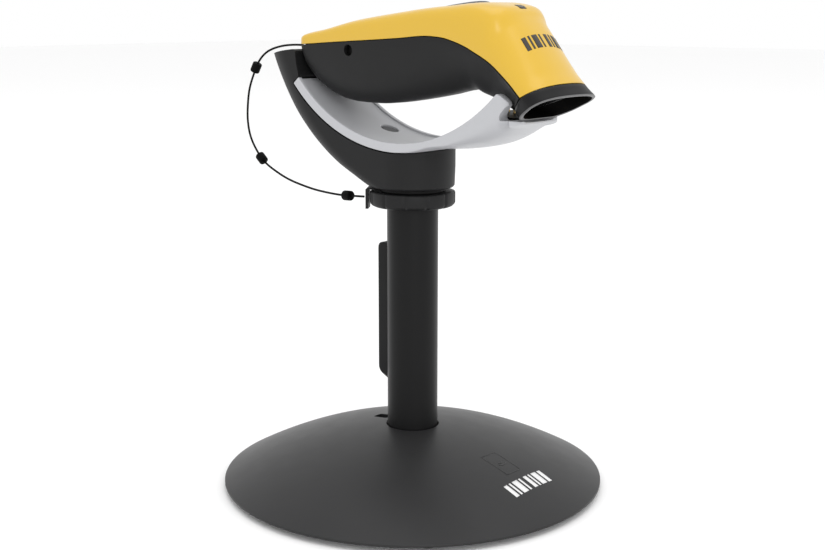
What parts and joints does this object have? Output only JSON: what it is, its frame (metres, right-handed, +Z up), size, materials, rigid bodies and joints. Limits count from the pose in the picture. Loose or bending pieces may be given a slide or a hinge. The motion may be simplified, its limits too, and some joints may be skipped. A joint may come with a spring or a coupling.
{
  "type": "handheld barcode scanner with charging stand",
  "caption": "Handheld barcode scanner lying nose-down in the cradle of a desk stand with a round weighted base, a swivelling head, a lock ring and a wire tether.",
  "frame": {"origin": "centre of the base's footprint on the table, with the pole standing on the Z axis", "axes": "+Z up along the pole, +X towards the scanner's nose, +Y to the scanner's left"},
  "size_m": [0.1845, 0.1678, 0.2104],
  "materials": {
    "base": "satin dark grey",
    "black": "matte black",
    "pole": "satin black",
    "liner": "satin light grey",
    "yellow": "satin yellow",
    "grey": "dark grey",
    "iron": "rough",
    "steel": "plain",
    "gold": "gold plated",
    "board": "green resist",
    "cell": "blue wrap",
    "glass": "dark window",
    "led": "clear blue",
    "rubber": "black",
    "wire": "black coated wire"
  },
  "bodies": {
    "stand": {"base_cover": "base", "base_plate": "steel", "base_weight": "iron", "pole": "pole", "cable_cover": "black", "tie_rod": "steel", "tie_rod_nut": "steel", "swivel_spigot": "black", "base_foot_1": "rubber", "base_screw_1": "steel", "base_foot_2": "rubber", "base_screw_2": "steel", "base_foot_3": "rubber", "base_screw_3": "steel", "base_foot_4": "rubber", "base_screw_4": "steel"},
    "head": {"tether_bracket": "black", "head_cup": "black", "charge_board": "board", "stand_usb_socket": "steel", "cradle_liner": "liner", "liner_screw": "grey", "contact_block": "black", "tether_wire": "wire", "tether_ferrule_1": "rubber", "tether_ferrule_2": "rubber", "tether_ferrule_3": "rubber"},
    "scanner": {"top_shell": "yellow", "bottom_shell": "black", "nose_bezel": "black", "scan_window": "glass", "scan_engine": "rubber", "engine_lens": "glass", "aim_led": "led", "led_lens": "glass", "main_board": "board", "battery": "cell", "beeper": "rubber", "vibration_motor": "steel", "scan_switch": "rubber", "power_switch": "rubber", "shell_screw_1": "steel", "shell_screw_2": "steel", "charge_contact_rear": "gold", "charge_contact_front": "gold", "tether_eyelet": "steel"},
    "lock_ring": {"lock_ring": "black"},
    "pin_rear": {"pogo_pin_rear": "gold"},
    "pin_front": {"pogo_pin_front": "gold"},
    "scan_key": {"scan_button": "grey"},
    "power_key": {"power_button": "grey"},
    "motor_weight": {"vibration_weight": "steel"}
  },
  "joints": [
    {"name": "head_swivel", "type": "hinge", "parent": "stand", "child": "head", "pos_m": [0, 0, 0.13], "axis": [0, 0, 1], "range_deg": [-170, 170]},
    {"name": "lock_ring_turn", "type": "hinge", "parent": "stand", "child": "lock_ring", "pos_m": [0, 0, 0.127], "axis": [0, 0, 1], "range_deg": [0, 60]},
    {"name": "scanner_lift", "type": "slide", "parent": "head", "child": "scanner", "axis": [0, 0, 1], "range_m": [0, 0.07], "deforming": ["tether_wire"]},
    {"name": "scan_button_press", "type": "slide", "parent": "scanner", "child": "scan_key", "axis": [0, 0, -1], "range_m": [0, 0.001], "stiffness_N_per_m": 600, "springref_m": -0.001},
    {"name": "power_button_press", "type": "slide", "parent": "scanner", "child": "power_key", "axis": [0, 0, -1], "range_m": [0, 0.0006], "stiffness_N_per_m": 600, "springref_m": -0.001},
    {"name": "pogo_pin_rear_press", "type": "slide", "parent": "head", "child": "pin_rear", "axis": [0, 0, 1], "range_m": [-0.0008, 0], "stiffness_N_per_m": 300, "springref_m": 0.001},
    {"name": "pogo_pin_front_press", "type": "slide", "parent": "head", "child": "pin_front", "axis": [0, 0, 1], "range_m": [-0.0008, 0], "stiffness_N_per_m": 300, "springref_m": 0.001},
    {"name": "vibration_weight_spin", "type": "hinge", "parent": "scanner", "child": "motor_weight", "pos_m": [0.0329, 0.006, 0.183], "axis": [1, 0, 0], "continuous": true}
  ]
}
